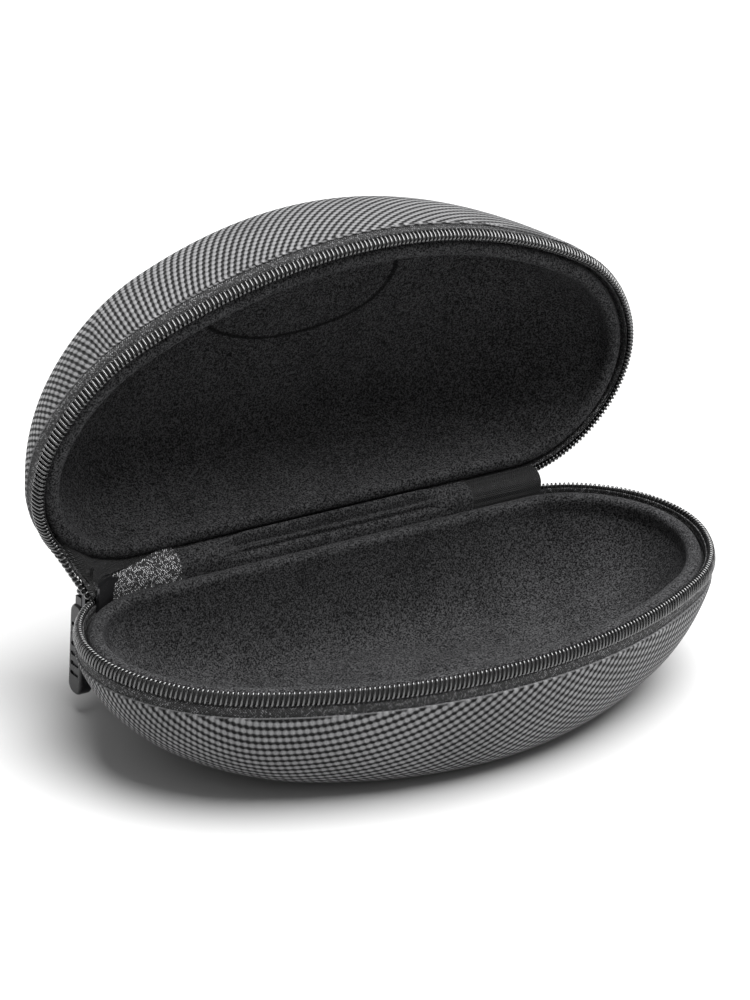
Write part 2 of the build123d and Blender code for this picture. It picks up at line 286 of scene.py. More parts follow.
def cloth_threads(half, rows):
    """Counts of the cover cloth's threads across and forward at each point of the rows."""
    x, f, depth = (np.stack([row[i] for row in rows], 1) for i in range(3))
    dome, lay = DOMES[half], CLOTH[half]
    down = depth / dome["depth"]
    forward = f - dome["pole"]
    across = x * (lay["across"][0] - lay["across"][1] * down)
    front = forward * (lay["front"][0] - lay["front"][1] * down)
    back = forward * (lay["back"][0] - lay["back"][1] * down)
    return np.stack([across, np.where(forward > 0, front, back), depth], -1)


# ---------------------------------------------------------------- paths and sweeps
def along_path(path, run):
    """The path's start, out and down at these runs along it."""
    found = []
    for key in ("start", "out", "down"):
        line = path[key]
        parts = [np.interp(run, path["along"], line[:, i]) for i in range(3)]
        found.append(np.stack(parts, -1))
    return found


def rim_path(half, rim):
    """Points of the rim's edge with the ways outward and down, in metres per mm."""
    x, f = rim_xf(rim, 0)
    start = place(half, x, f, 0.0)
    return {
        "start": start,
        "out": place(half, *rim_xf(rim, -1.0), 0.0) - start,
        "down": place(half, x, f, 1.0) - start,
        "along": rim["along"],
    }


def corner_path(from_phi, to_phi, step=0.4):
    """A path round the left corner in the split plane, where the lid's coil is closed."""
    count = max(2, ceil(CORNER_R * radians(abs(to_phi - from_phi)) / step))
    phi = np.radians(np.linspace(from_phi, to_phi, count + 1))
    out = np.stack([-np.sin(phi), np.cos(phi), 0 * phi], -1)
    centre = np.array([-HINGE_HALF, HINGE_Y - CORNER_R, RIM_Z])
    return {
        "start": (centre + CORNER_R * out) * MM,
        "out": out * MM,
        "down": np.tile((0, 0, MM), (count + 1, 1)),
        "along": CORNER_R * abs(phi - phi[0]),
    }


def lead_path(step=0.35):
    """From the lid's rim at LEAD_PHI down to the slider's mouth, as one easy curve."""
    rim = rim_samples(0.2, right_phi=LEAD_PHI)
    lid = rim_path("lid", rim)
    mouth = corner_path(MOUTH_PHI, MOUTH_PHI + 2)
    begin, end = mouth["start"][0], lid["start"][0]
    reach = np.linalg.norm(end - begin)
    begin_way = mouth["start"][1] - mouth["start"][0]
    end_way = lid["start"][1] - lid["start"][0]
    begin_way *= 1.1 * reach / np.linalg.norm(begin_way)
    end_way *= 1.1 * reach / np.linalg.norm(end_way)
    u = np.linspace(0, 1, ceil(reach / MM / step))[:, None]
    start = (
        (2 * u**3 - 3 * u**2 + 1) * begin
        + (u**3 - 2 * u**2 + u) * begin_way
        + (3 * u**2 - 2 * u**3) * end
        + (u**3 - u**2) * end_way
    )
    ease = u * u * (3 - 2 * u)
    way = np.gradient(start, axis=0)
    way /= np.linalg.norm(way, axis=1)[:, None]
    out = mouth["out"][0] * (1 - ease) + lid["out"][0] * ease
    out -= (out * way).sum(1)[:, None] * way
    out *= MM / np.linalg.norm(out, axis=1)[:, None]
    down = mouth["down"][0] * (1 - ease) + lid["down"][0] * ease
    down -= (down * way).sum(1)[:, None] * way
    down -= (down * out).sum(1)[:, None] * out / MM**2
    down *= MM / np.linalg.norm(down, axis=1)[:, None]
    run = run_along(start)
    return {"start": start, "out": out, "down": down, "along": run / MM}


def ribbon(name, path, profile, material, slot):
    """A profile of inset and depth pairs swept along a path, with weave coordinates."""
    profile = np.array(profile)
    points = (
        path["start"][:, None]
        - profile[None, :, 0, None] * path["out"][:, None]
        + profile[None, :, 1, None] * path["down"][:, None]
    )
    around = run_along(profile)
    cloth = np.zeros(points.shape)
    cloth[..., 0] = path["along"][:, None]
    cloth[..., 1] = around[None]
    cloth[..., 2] = profile[None, :, 1]
    return surface(name, points, material, slot, wrap=(False, True), cloth=cloth)


def tube(name, centres, radius, material, slot, sides=8):
    """A round tube along a dense line of points, capped at both ends."""
    way = np.gradient(centres, axis=0)
    way /= np.linalg.norm(way, axis=1)[:, None]
    normal = np.cross(way[0], (0.3, 0.5, 0.8))
    frames = []
    for tangent in way:
        normal = normal - (normal @ tangent) * tangent
        normal /= np.linalg.norm(normal)
        frames.append((normal, np.cross(tangent, normal)))
    normals = np.array([n for n, b in frames])
    binormals = np.array([b for n, b in frames])
    radius = np.broadcast_to(radius, len(centres))
    turn = 2 * pi * np.arange(sides) / sides
    points = (
        centres[:, None]
        + np.cos(turn)[None, :, None] * (normals * radius[:, None])[:, None]
        + np.sin(turn)[None, :, None] * (binormals * radius[:, None])[:, None]
    )
    run = run_along(centres)
    cloth = np.zeros(points.shape)
    cloth[..., 0] = run[:, None] / MM
    cloth[..., 1] = turn[None]
    swapped = points.transpose(1, 0, 2)
    cloth = cloth.transpose(1, 0, 2)
    options = {"wrap": (True, False), "caps": (True, True), "cloth": cloth}
    return surface(name, swapped, material, slot, **options)


def coil(name, path, half_pitch=0.0):
    """Moulded monofilament wound round the zip's cord along a path, one loop per pitch."""
    length = path["along"][-1] - path["along"][0]
    loops = round(length / COIL_PITCH)
    per_loop = 18
    turn = 2 * pi * np.arange(loops * per_loop + 1) / per_loop
    run = path["along"][0] + length * turn / turn[-1]
    turn = turn + half_pitch * 2 * pi
    start, out, down = along_path(path, run)
    lift = COIL_HALF_HEIGHT * np.sign(np.cos(turn)) * abs(np.cos(turn)) ** 0.8
    side = COIL_HALF_WIDTH * np.sign(np.sin(turn)) * abs(np.sin(turn)) ** 0.75
    inset = COIL_INSET - side + COIL_LEAN * lift / COIL_HALF_HEIGHT
    centres = start - inset[:, None] * out + (COIL_DEPTH - lift)[:, None] * down
    flare = 1 + 0.2 * np.abs(np.cos(turn)) ** 3
    return tube(name, centres, COIL_WIRE_R * flare * MM, COIL, "nylon_coil", sides=7)


# ---------------------------------------------------------------- materials
class Shader:
    """A node material. Sockets or plain numbers go in, sockets come out."""

    def __init__(self, name, **constants):
        self.material = bpy.data.materials.new(name)
        self.material.use_nodes = True
        self.tree = self.material.node_tree
        self.tree.nodes.clear()
        self.output = self.tree.nodes.new("ShaderNodeOutputMaterial")
        self.surface = self.tree.nodes.new("ShaderNodeBsdfPrincipled")
        self.tree.links.new(self.surface.outputs[0], self.output.inputs["Surface"])
        for socket, value in constants.items():
            self.surface.inputs[socket.replace("_", " ")].default_value = value

    def put(self, socket, value):
        if isinstance(value, bpy.types.NodeSocket):
            self.tree.links.new(value, socket)
        else:
            socket.default_value = value

    def math(self, operation, first, second=0.0, third=0.0):
        node = self.tree.nodes.new("ShaderNodeMath")
        node.operation = operation
        for socket, value in zip(node.inputs, (first, second, third)):
            self.put(socket, value)
        return node.outputs[0]

    def ease(self, value, low, high, to_low=0.0, to_high=1.0):
        """A smooth step of value between low and high."""
        node = self.tree.nodes.new("ShaderNodeMapRange")
        node.interpolation_type = "SMOOTHSTEP"
        for socket, number in zip(node.inputs, (value, low, high, to_low, to_high)):
            self.put(socket, number)
        return node.outputs[0]

    def blend_colour(self, share, first, second):
        node = self.tree.nodes.new("ShaderNodeMix")
        node.data_type = "RGBA"
        self.put(node.inputs[0], share)
        for socket, value in zip(node.inputs[6:8], (first, second)):
            self.put(socket, value if isinstance(value, bpy.types.NodeSocket) else (*value, 1))
        return node.outputs[2]

    def split(self, vector):
        """The three parts of a vector socket."""
        parts = self.tree.nodes.new("ShaderNodeSeparateXYZ")
        self.put(parts.inputs[0], vector)
        return parts.outputs

    def weave(self):
        """The piece's weave coordinates, as three sockets."""
        node = self.tree.nodes.new("ShaderNodeAttribute")
        node.attribute_name = "weave"
        return self.split(node.outputs["Vector"])

    def place(self):
        node = self.tree.nodes.new("ShaderNodeTexCoord")
        return node.outputs["Object"]

    def joined(self, x, y, z=0.0):
        node = self.tree.nodes.new("ShaderNodeCombineXYZ")
        for socket, value in zip(node.inputs, (x, y, z)):
            self.put(socket, value)
        return node.outputs[0]

    def noise(self, vector, scale, detail=2.0, roughness=0.5):
        """Fractal noise from 0 to 1, at this many cells per metre or per unit of vector."""
        node = self.tree.nodes.new("ShaderNodeTexNoise")
        self.put(node.inputs["Vector"], vector)
        self.put(node.inputs["Scale"], scale)
        self.put(node.inputs["Detail"], detail)
        self.put(node.inputs["Roughness"], roughness)
        return node.outputs["Fac"]

    def bump(self, height, distance, strength=1.0, under=None):
        node = self.tree.nodes.new("ShaderNodeBump")
        self.put(node.inputs["Height"], height)
        self.put(node.inputs["Distance"], distance * MM)
        self.put(node.inputs["Strength"], strength)
        if under is not None:
            self.put(node.inputs["Normal"], under)
        return node.outputs[0]

    def finish(self, colour=None, roughness=None, normal=None):
        for name, value in (("Base Color", colour), ("Roughness", roughness), ("Normal", normal)):
            if value is not None:
                self.put(self.surface.inputs[name], value)
        return self.material


# Depths at which the painted highlight along the folded hem's edge starts to fade and is gone
HEM_HIGHLIGHT_DEPTH = 6.02
HEM_HIGHLIGHT_GONE_DEPTH = 6.3


def woven_cover():
    """Plain ballistic weave: rounded floats over and under with holes between; the colour darkens
    into the gaps and holes as painted shade, and the hem carries a painted highlight.
    """
    s = Shader("woven_cover", Sheen_Weight=0.03, Sheen_Roughness=0.4, Specular_IOR_Level=0.3)
    across, forward, depth = s.weave()
    half_across = s.math("MULTIPLY", across, 0.5)
    row = s.math("MULTIPLY_ADD", forward, 0.5, half_across)
    file = s.math("MULTIPLY_ADD", forward, -0.5, half_across)
    a = s.math("MULTIPLY_ADD", s.math("FRACT", row), 2.0, -1.0)
    b = s.math("MULTIPLY_ADD", s.math("FRACT", file), 2.0, -1.0)
    a = s.math("ABSOLUTE", s.math("MULTIPLY_ADD", b, 0.12, a))
    b = s.math("ABSOLUTE", b)
    row_gap = s.ease(a, 0.15, 1.0)
    file_gap = s.ease(b, 0.2, 0.95)
    hole = s.math("MULTIPLY", s.ease(a, 0.2, 0.95), s.ease(b, 0.35, 0.9))
    crown = s.math("MULTIPLY_ADD", row_gap, -0.38, 1.0)
    crown = s.math("MULTIPLY", crown, s.math("MULTIPLY_ADD", file_gap, -0.62, 1.0))
    height = s.math("MAXIMUM", s.math("MULTIPLY_ADD", hole, -0.4, crown), 0.0)
    yarn = s.noise(s.joined(s.math("MULTIPLY", row, 9.0), s.math("MULTIPLY", file, 2.0)), 1.1, 2.0)
    tone = s.noise(s.place(), 45.0, 2.0)
    # The colour follows the weave's height: darker down each float into the gaps and holes, which
    # is painted shade; the yarn and tone noise is the cloth's own
    light = s.ease(height, 0.2, 1.08)
    light = s.math("MULTIPLY", light, s.ease(yarn, 0.25, 0.75, 0.7, 1.25))
    light = s.math("MULTIPLY", light, s.ease(tone, 0.3, 0.7, 0.88, 1.1))
    # A painted highlight along the hem's fold: the colour is at least this pale down to the first
    # hem depth and fades out by the second
    hem = s.ease(depth, HEM_HIGHLIGHT_DEPTH, HEM_HIGHLIGHT_GONE_DEPTH, 0.6, 0.0)
    light = s.math("MAXIMUM", light, hem)
    colour = s.blend_colour(light, (0.002, 0.002, 0.0023), (0.26, 0.26, 0.265))
    roughness = s.ease(height, 0.35, 1.0, 0.9, 0.36)
    fine = s.bump(yarn, 0.03)
    return s.finish(colour, roughness, s.bump(height, 0.5, 1.0, fine))


# The oval crease of the lid's lining, drawn only as a line of painted shade, in x and f
OVAL_CENTRE_F = 50.0
OVAL_HALF_LENGTH = 27.0
OVAL_HALF_WIDTH = 13.0


def brushed_lining():
    """Brushed knit: matt black pile, mottled, with a fine fuzzy grain, and the lid's oval crease
    as painted shade.
    """
    s = Shader("brushed_lining", Sheen_Weight=0.05, Sheen_Roughness=0.5, Specular_IOR_Level=0.06)
    s.put(s.surface.inputs["Sheen Tint"], (0.55, 0.55, 0.58, 1))
    where = s.place()
    grain = s.noise(where, 2700.0, 2.0, 0.6)
    pile = s.noise(where, 1100.0, 2.0, 0.6)
    mottle = s.noise(where, 75.0, 3.0, 0.55)
    patches = s.ease(mottle, 0.25, 0.75, 0.8, 1.15)
    light = s.math("MULTIPLY", s.ease(grain, 0.36, 0.66, 0.05, 1.05), patches)
    light = s.math("MULTIPLY", light, s.ease(pile, 0.35, 0.65, 0.7, 1.25))
    # The oval crease: the colour is darkened along a thin oval on the lid's roof, painted shade
    # with no relief
    across, forward, roof = s.weave()
    reach = s.math("POWER", s.math("MULTIPLY", across, 1 / OVAL_HALF_LENGTH), 2.0)
    side = s.math("MULTIPLY_ADD", forward, 1 / OVAL_HALF_WIDTH, -OVAL_CENTRE_F / OVAL_HALF_WIDTH)
    ring = s.math("SQRT", s.math("ADD", reach, s.math("MULTIPLY", side, side)))
    away = s.math("ABSOLUTE", s.math("SUBTRACT", ring, 1.0))
    crease = s.math("MULTIPLY", s.ease(away, 0.01, 0.045, 1.0, 0.0), roof)
    light = s.math("MULTIPLY", light, s.math("MULTIPLY_ADD", crease, -0.85, 1.0))
    colour = s.blend_colour(light, (0.0015, 0.0015, 0.0017), (0.066, 0.066, 0.068))
    coarse = s.bump(pile, 0.22)
    return s.finish(colour, s.ease(grain, 0.3, 0.7, 0.98, 0.8), s.bump(grain, 0.12, 1.0, coarse))


def herringbone(name, light_colour, sparkle, rarity):
    """Zip tape: fine chevrons along the tape, darker in their grooves as painted shade, with
    bright specks painted as glints of glossy yarn.
    """
    s = Shader(name, Sheen_Weight=0.02, Specular_IOR_Level=0.55)
    along, around = s.weave()[:2]
    zigzag = s.math("PINGPONG", around, 0.75)
    rib = s.math("SINE", s.math("MULTIPLY", s.math("ADD", along, zigzag), 2 * pi / 0.56))
    cross = s.math("SINE", s.math("MULTIPLY", around, 2 * pi / 0.42))
    specks = s.noise(s.place(), 1700.0, 2.0, 0.7)
    height = s.math("MULTIPLY_ADD", cross, 0.25, rib)
    # The specks are painted glints, brightening the colour up to sparkle times the light colour;
    # they are also less rough
    gloss = s.ease(specks, 0.5, 0.5 + rarity, 0.04, sparkle)
    shade = s.math("MULTIPLY", s.ease(height, -0.7, 1.1), gloss)
    colour = s.blend_colour(shade, (0.006, 0.006, 0.0065), light_colour)
    return s.finish(colour, s.ease(specks, 0.3, 0.7, 0.7, 0.35), s.bump(height, 0.11))


def moulded_coil():
    """Glossy monofilament with faint moulding marks and dust."""
    s = Shader("nylon_coil", Specular_IOR_Level=1.0, Coat_Weight=1.0, Coat_Roughness=0.12)
    along, around = s.weave()[:2]
    marks = s.noise(s.joined(s.math("MULTIPLY", along, 0.6), around), 3.0, 2.0)
    dust = s.noise(s.place(), 900.0, 3.0)
    colour = s.blend_colour(s.ease(dust, 0.4, 0.8), (0.006, 0.006, 0.0065), (0.03, 0.03, 0.031))
    return s.finish(colour, s.ease(marks, 0.3, 0.7, 0.16, 0.3), s.bump(marks, 0.02))


def thread():
    """Twisted thread: slanting strands and a little fuzz."""
    s = Shader("sewing_thread", Sheen_Weight=0.05, Specular_IOR_Level=0.4)
    along, around = s.weave()[:2]
    slant = s.math("MULTIPLY_ADD", along, 2 * pi / 0.35, s.math("MULTIPLY", around, 2))
    twist = s.math("SINE", slant)
    fuzz = s.noise(s.place(), 3200.0, 2.0)
    shade = s.math("MULTIPLY", s.ease(twist, -0.8, 0.9), s.ease(fuzz, 0.2, 0.8, 0.6, 1.1))
    colour = s.blend_colour(shade, (0.003, 0.003, 0.003), (0.02, 0.02, 0.0206))
    return s.finish(colour, 0.6, s.bump(twist, 0.05))


def foam():
    """Closed-cell foam: small dark cells with paler walls."""
    s = Shader("foam_core", Specular_IOR_Level=0.2)
    cells = s.tree.nodes.new("ShaderNodeTexVoronoi")
    s.put(cells.inputs["Vector"], s.place())
    s.put(cells.inputs["Scale"], 1600.0)
    shade = s.ease(cells.outputs["Distance"], 0.1, 0.7)
    colour = s.blend_colour(shade, (0.012, 0.012, 0.013), (0.05, 0.05, 0.052))
    return s.finish(colour, 0.9, s.bump(cells.outputs["Distance"], 0.08))


def dark_metal():
    """Gunmetal enamel, worn to brighter metal in fine scratches and specks."""
    s = Shader("dark_metal", Metallic=0.85, Coat_Weight=1.0, Coat_Roughness=0.1)
    where = s.place()
    x, y, z = s.split(where)
    scratch = s.noise(s.joined(x, y, s.math("MULTIPLY", z, 6.0)), 900.0, 3.0, 0.7)
    cloud = s.noise(where, 220.0, 2.0)
    worn = s.math("MULTIPLY", s.ease(scratch, 0.6, 0.75), 0.6)
    colour = s.blend_colour(worn, (0.045, 0.045, 0.049), (0.3, 0.3, 0.31))
    return s.finish(colour, s.ease(cloud, 0.3, 0.7, 0.26, 0.42), s.bump(scratch, 0.012))


def glossy_grip():
    """Moulded grip: deep gloss black with slight orange peel and finger smudges."""
    s = Shader("soft_grip", Coat_Weight=0.15, Coat_Roughness=0.12, Specular_IOR_Level=0.35)
    where = s.place()
    peel = s.noise(where, 1400.0, 2.0)
    smudge = s.noise(where, 160.0, 3.0)
    colour = s.blend_colour(s.ease(smudge, 0.35, 0.75), (0.01, 0.01, 0.011), (0.03, 0.03, 0.032))
    return s.finish(colour, s.ease(smudge, 0.3, 0.7, 0.16, 0.34), s.bump(peel, 0.02))


COVER = woven_cover()
LINING = brushed_lining()
# One tape three times: as it is, a paler copy painted lit for the left tail, and a darker copy
# painted in shade for the gusset and the right tail
TAPE = herringbone("zip_tape", (0.3, 0.3, 0.308), 1.5, 0.17)
LIT_TAIL_TAPE = herringbone("zip_tail_tape_painted_lit", (0.75, 0.75, 0.765), 1.9, 0.09)
SHADE_TAPE = herringbone("zip_tape_painted_shade", (0.03, 0.03, 0.031), 1.2, 0.2)
COIL = moulded_coil()
THREAD = thread()
FOAM = foam()
METAL = dark_metal()
GRIP = glossy_grip()


# ---------------------------------------------------------------- the two halves
closed_rim = rim_samples(0.8, closed=True)
fine_rim = rim_samples(0.75, closed=True)

# Inset of the cover below its hem, and the hem's fold as inset and depth pairs
COVER_INSET = 0.8
HEM = (
    [(1.75, 7.9), (1.7, 7.1)]
    + arc_profile((1.25, 6.48), 0.45, 0.5, 0, 180, 9)
    + [(COVER_INSET, 6.7), (COVER_INSET, 6.95)]
)
HEM_END_DEPTH = 7.15
COVER_ROWS = 84

# The lining over the rim as inset and depth pairs: channel floor, rolled edge, padded lip.
# The rolled edge stays below the slider's inner plate, and the lip stays inside it
LINING_INSET = 7.4
LINING_FROM_OUTSIDE = 5.7
LINING_ROWS = 74
LINING_RIM = (
    [(1.9, 5.1), (2.2, 4.75), (2.8, 4.6), (3.2, 4.55), (3.34, 4.35)]
    + arc_profile((3.56, 3.85), 0.2, 0.3, 200, 60, 5)
    + arc_profile((5.57, 2.9), 1.81, 1.75, 192, -5, 20, power=0.86)
    + [(7.38, 4.0), (LINING_INSET, 4.7)]
)
LINING_SWAY = 0.16
ROOF_DEPTH = 15  # the lid's lining deeper than this carries the oval crease

FOAM_RIM = [(2.5, 5.0), (4.6, 4.9), (4.9, 3.6), (5.6, 2.4), (6.2, 2.6), (6.5, 4.4)]
FOAM_ROWS = 30

SEAM_INSET = 3.1
SEAM_DEPTH = 4.05
STITCH_PITCH = 2.3
STITCH_DIP = 0.42
THREAD_R = 0.2


def outer_cover(half):
    """The woven cover: a hem folded over at the top, then the moulded dome to its pole."""
    dome = DOMES[half]
    rows = []
    for inset, depth in HEM:
        x, f = rim_xf(closed_rim, inset)
        rows.append(dome_ring(half, x, f, depth / dome["depth"], 0.0, dome["last"]))
    below = dome_rows(half, closed_rim, COVER_INSET, 0.0, COVER_ROWS)
    rows += [row for row in below if row[2][0] > HEM_END_DEPTH]
    cloth = cloth_threads(half, rows)
    name = f"{half}_cover_cloth"
    made = half_surface(name, half, rows, COVER, "woven_cover", caps=(False, True), cloth=cloth)
    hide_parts(f"{half}_cover")
    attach(made, half)


def inner_lining(half):
    """The lining: the channel floor, a rolled edge, the padded lip and the cavity."""
    rows = lip_rows(fine_rim, LINING_RIM)
    rows += dome_rows(half, fine_rim, LINING_INSET, LINING_FROM_OUTSIDE, LINING_ROWS)
    x, f, depth = (np.stack([row[i] for row in rows], 1) for i in range(3))
    sway = LINING_SWAY * (np.sin(x * 0.31 + f * 0.22) + np.sin(f * 0.43 - x * 0.17 + 2.0))
    sway *= np.clip((depth - 3.0) / 6.0, 0, 1)
    rows = [(x[:, i], f[:, i], depth[:, i] + sway[:, i]) for i in range(len(rows))]
    roof = np.where((half == "lid") & (depth > ROOF_DEPTH), 1.0, 0.0)
    cloth = np.stack([x, f, roof], -1)
    name = f"{half}_lining_cloth"
    made = half_surface(
        name, half, rows, LINING, "brushed_lining", caps=(False, True), cloth=cloth
    )
    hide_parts(f"{half}_lining")
    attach(made, half)


def foam_core(half):
    """The foam between cover and lining, closed, with its raised lip."""
    rim = rim_samples(1.6, closed=True)
    outside = dome_rows(half, rim, 1.9, 1.2, FOAM_ROWS)[::-1]
    inside = dome_rows(half, rim, 6.55, 4.8, FOAM_ROWS)
    top = lip_rows(rim, FOAM_RIM)
    made = half_surface(
        f"{half}_foam", half, outside + top + inside, FOAM, "foam_core", caps=(True, True)
    )
    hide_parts(f"{half}_core")
    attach(made, half)


# Inset and depth pairs round the tape: down the outside, up to the coil, over a welt beside
# it, in to the lining, and back
TAPE_PROFILE = (
    [(1.6, 7.3), (1.55, 6.2), (1.42, 4.4), (1.5, 3.8), (1.9, 3.6), (2.62, 3.2), (2.68, 1.9)]
    + arc_profile((2.81, 1.1), 0.13, 0.16, 180, 0, 4)
    + [(2.92, 1.7), (2.94, 3.0), (2.97, 3.9), (3.05, 4.3), (3.3, 4.36), (3.3, 4.46), (3.1, 4.46)]
    + [(2.8, 4.0), (2.66, 3.5), (2.2, 3.8), (1.9, 4.1), (1.8, 4.6), (1.82, 7.3)]
)

# The filler cord, an ellipse that leans with the coil
CORD_PROFILE = [
    (
        COIL_INSET - 0.46 * cos(radians(turn)) - COIL_LEAN * 0.75 * sin(radians(turn)),
        COIL_DEPTH + 1.08 * sin(radians(turn)),
    )
    for turn in range(0, 360, 30)
]


def stitches(name, path):
    """A row of lock stitches: the thread dips into the cloth between stitches."""
    length = path["along"][-1] - path["along"][0]
    count = round(length / STITCH_PITCH)
    per_stitch = 10
    phase = np.arange(count * per_stitch + 1) / per_stitch
    run = path["along"][0] + length * phase / count
    rise = np.abs(np.sin(pi * phase)) ** 0.45
    depths = SEAM_DEPTH + STITCH_DIP * (1 - rise)
    start, out, down = along_path(path, run)
    centres = start - SEAM_INSET * out + depths[:, None] * down
    return tube(name, centres, THREAD_R * MM * (0.75 + 0.25 * rise), THREAD, "sewing_thread", 6)


def zip_side(half):
    """Tape, coil, cord and stitches round the zip side of a half."""
    rim = rim_samples(0.7, right_phi=ZIP_FROM[half], left_phi=ZIP_TO)
    path = rim_path(half, rim)
    tape = ribbon(f"{half}_tape", path, TAPE_PROFILE, TAPE, "zip_tape")
    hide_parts(f"{half}_zip_tape")
    teeth = coil(f"{half}_coil", path, half_pitch=0.5 if half == "lid" else 0.0)
    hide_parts(f"{half}_zip_coil")
    cord = ribbon(f"{half}_cord", path, CORD_PROFILE, THREAD, "sewing_thread")
    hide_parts(f"{half}_coil_cord")
    seam = stitches(f"{half}_seam", path)
    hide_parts(f"{half}_seam_thread")
    for piece in (tape, teeth, cord, seam):
        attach(piece, half)


for build in (outer_cover, inner_lining, foam_core, zip_side):
    for half in ("base", "lid"):
        build(half)


# ---------------------------------------------------------------- round the slider
def hinge_point(f, depth, side):
    """A point of the hinge's middle plane, from a half's f and depth."""
    return Vector(place(side, 0.0, f, depth))


lead = lead_path()
lead_coil = coil("lid_coil_lead", lead, half_pitch=0.5)
lead_cord = ribbon("lid_cord_lead", lead, CORD_PROFILE, THREAD, "sewing_thread")
lead_tape = ribbon("lid_tape_lead", lead, TAPE_PROFILE[:15] + TAPE_PROFILE[-6:], TAPE, "zip_tape")
for piece in (lead_coil, lead_cord, lead_tape):
    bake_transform(piece)


GUSSET_START = 13.0  # how far along the hinge from its corner the gusset starts
GUSSET_LID = (4.3, 2.9)  # inset and depth of its edge on the lid
GUSSET_ZIP = (3.1, 0.3)  # inset and depth of its edge on the base's zip line
GUSSET_THICKNESS = 0.45


def gusset():
    """The unzipped tape between the lid's rim and the zip line, from the hinge to LEAD_PHI."""
    straight, bent = 20, 70
    phi = np.concatenate([np.zeros(straight), np.linspace(0.0, LEAD_PHI, bent)])
    back = np.concatenate([np.linspace(GUSSET_START, 0.4, straight), np.zeros(bent)])
    turn = np.radians(phi)
    corner_x = HINGE_HALF + CORNER_R * np.sin(turn) - back
    corner_f = CORNER_R * (1 - np.cos(turn))
    inward_x, inward_f = -np.sin(turn), np.cos(turn)
    inset, depth = GUSSET_LID
    lid_edge = place("lid", corner_x + inset * inward_x, corner_f + inset * inward_f, depth)
    inset, depth = GUSSET_ZIP
    base_line = place("base", -(corner_x + inset * inward_x), corner_f + inset * inward_f, depth)
    share = np.clip((phi - MOUTH_PHI) / (LEAD_PHI - MOUTH_PHI), 0, 1)
    lead_run = (lead["along"] - lead["along"][0]) / (lead["along"][-1] - lead["along"][0])
    lead_line = lead["start"] - 2.8 * lead["out"] + 2.6 * lead["down"]
    lead_line = np.stack([np.interp(share, lead_run, lead_line[:, i]) for i in range(3)], -1)
    ease = np.clip((phi - MOUTH_PHI + 4) / 8, 0, 1)[:, None]
    zip_line = base_line * (1 - ease) + lead_line * ease
    across = np.linspace(0, 1, 12)
    points = zip_line[:, None] * (1 - across)[None, :, None]
    points = points + lid_edge[:, None] * across[None, :, None]
    sag = np.sin(pi * across)[None, :, None] * np.sin(pi * phi / LEAD_PHI)[:, None, None]
    points = points + sag * np.array((0.6, -0.6, 0.2)) * MM
    width = np.linalg.norm(lid_edge - zip_line, axis=1) / MM
    cloth = np.zeros(points.shape)
    cloth[..., 0] = (CORNER_R * turn - back)[:, None]
    cloth[..., 1] = width[:, None] * across[None]
    # The gusset takes the tape copy painted in shade
    made = surface("lid_tape_gusset", points, SHADE_TAPE, "zip_tape", cloth=cloth)
    thick = made.modifiers.new("tape_thickness", "SOLIDIFY")
    thick.thickness = GUSSET_THICKNESS * MM
    thick.offset = 0
    return made


gusset_tape = gusset()
hinge_point(12.0, 1.0, "base")
hinge_point(12.0, 2.5, "lid")
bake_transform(gusset_tape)

joined = corner_path(JOINED_FROM_PHI, ZIP_TO)
joined_coil = coil("joined_coil", joined, half_pitch=0.5)
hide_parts("zip_coil_joined_run")
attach(joined_coil, "base")


# ---------------------------------------------------------------- hinge cloths
def hinge_section(radius, leg, count):
    """Across the hinge inside the case: base leg, arc about the hinge line, lid leg."""
    points = [(-radius, -leg * (1 - i / 5)) for i in range(5)]
    turns = np.radians(180 - OPEN_ANGLE * np.arange(count + 1) / count)
    points += [(radius * cos(t), radius * sin(t)) for t in turns]
    tip = (-radius * open_cos, radius * open_sin)
    for i in range(1, 6):
        points.append((tip[0] + open_sin * leg * i / 5, tip[1] + open_cos * leg * i / 5))
    return np.array(points)


# The lining strip's relief: a groove, a welt on its lid side and a shallower groove on its
# base side. Each has its place across the strip from the base's side, its depth, which is
# negative for the welt, and its spread, all as shares
STRIP_RELIEF = ((0.56, 0.8, 0.035), (0.68, -0.9, 0.045), (0.4, 0.5, 0.06))


def band(name, stations, radius, leg, thickness, material, slot, relief_depth=0.0):
    """A band across the hinge line. A station is x, forward shift, share of the relief and how
    much of the band's width, from the base's side, is there."""
    whole = hinge_section(radius, leg, 18)
    whole_run = run_along(whole)
    rows, cloth = [], []
    for x, shift, lift, width in stations:
        run = np.linspace(0, whole_run[-1] * width, 44)
        mid = np.stack([np.interp(run, whole_run, whole[:, i]) for i in range(2)], -1)
        way = np.gradient(mid, axis=0)
        way /= np.linalg.norm(way, axis=1)[:, None]
        outward = np.stack([-way[:, 1], way[:, 0]], -1)
        share = run / whole_run[-1]
        relief = sum(
            depth * np.exp(-(((share - middle) / spread) ** 2))
            for middle, depth, spread in STRIP_RELIEF
        )
        shaped = mid - outward * (relief_depth * lift * relief)[:, None]
        top = shaped + outward * thickness / 2
        under = shaped - outward * thickness / 2
        loop = np.concatenate([top, under[::-1]]) + np.array([-shift, shift]) * 0.7
        y, z = loop[:, 0], loop[:, 1]
        rows.append(np.stack([np.full(len(y), x), HINGE_Y + y, RIM_Z + z], -1) * MM)
        around = np.concatenate([run, run[::-1]])
        cloth.append(np.stack([np.full(len(y), x), around, 0 * around], -1))
    return surface(name, np.array(rows), material, slot, wrap=(False, True), cloth=np.array(cloth))


def relief_share(x, half_length=24.0, fade=9.0):
    """How much of the relief is there: all in the middle of the strip, none at its ends."""
    rise = min(max((half_length + fade - abs(x)) / fade, 0), 1)
    return rise * rise * (3 - 2 * rise)


